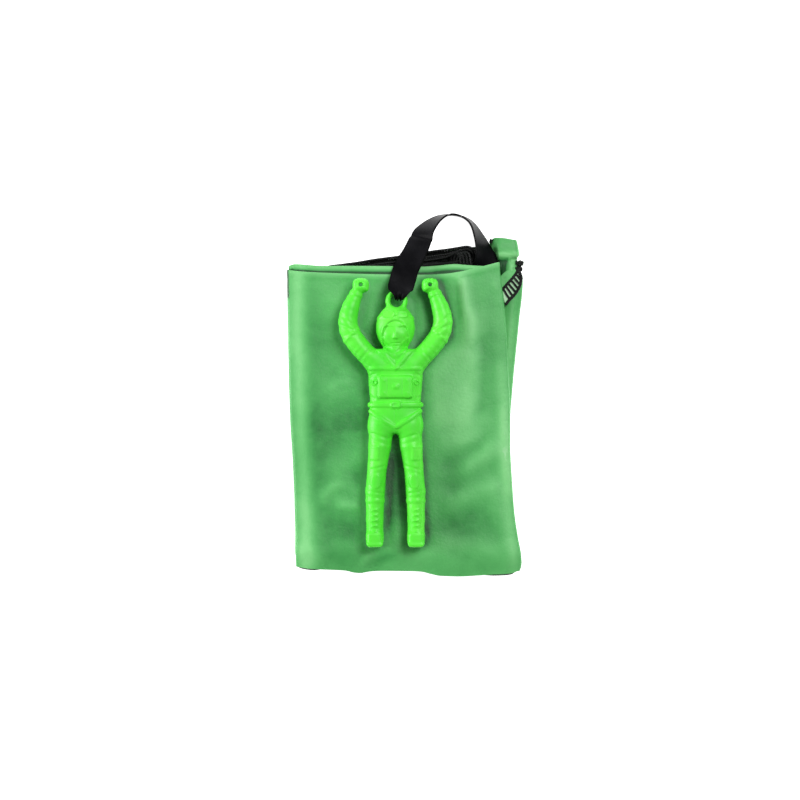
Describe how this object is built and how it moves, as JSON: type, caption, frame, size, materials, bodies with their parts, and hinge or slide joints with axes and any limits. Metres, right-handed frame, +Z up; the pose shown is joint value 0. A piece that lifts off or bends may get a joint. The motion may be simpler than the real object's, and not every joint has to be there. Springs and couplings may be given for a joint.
{
  "type": "toy parachute",
  "caption": "Folded satin toy parachute with stowed lines and a satin ribbon riser that holds a moulded parachutist by the eyelet on its helmet.",
  "frame": {"origin": "middle of the object's box, on the surface that the folded pack lies on", "axes": "+Z up, away from the surface the pack lies on; +Y along the pack, from its bottom fold towards its mouth, the ribbon and the figure's raised hands; +X across the pack, to the right when the figure is seen from the front with its head up"},
  "size_m": [0.0843, 0.131, 0.019],
  "materials": {
    "canopy_cloth": "satin woven polyester, soft sheen, wrinkled",
    "overlock_thread": "black serged polyester thread",
    "lines": "black braided cord",
    "ribbon": "black satin ribbon with woven edges",
    "figure_plastic": "neon green moulded polyethylene, slightly translucent"
  },
  "bodies": {
    "pack": {"canopy": "canopy_cloth", "overlock_thread": "overlock_thread", "riser_ribbon": "ribbon", "riser_bartack": "ribbon", "line_hank": "lines", "line_tie": "lines", "line_lead_1": "lines", "line_lead_2": "lines", "line_lead_3": "lines", "line_lead_4": "lines", "line_tail_1": "lines", "line_tail_2": "lines", "line_tail_3": "lines", "line_tail_4": "lines", "corner_knot_1": "lines", "corner_knot_2": "lines", "corner_knot_3": "lines", "corner_knot_4": "lines", "gather_knot": "lines"},
    "ribbon_end": {"riser_ribbon_end": "ribbon"},
    "figure": {"figure": "figure_plastic"}
  },
  "joints": [
    {"name": "ribbon_fold", "type": "hinge", "parent": "pack", "child": "ribbon_end", "pos_m": [-0.00198, 0.04467, 0.01095], "axis": [-1, 0, 0], "range_deg": [0, 95]},
    {"name": "figure_swivel", "type": "hinge", "parent": "ribbon_end", "child": "figure", "pos_m": [-0.0032, 0.03317, 0.014], "axis": [0, 0, 1], "range_deg": [-12, 8]}
  ]
}
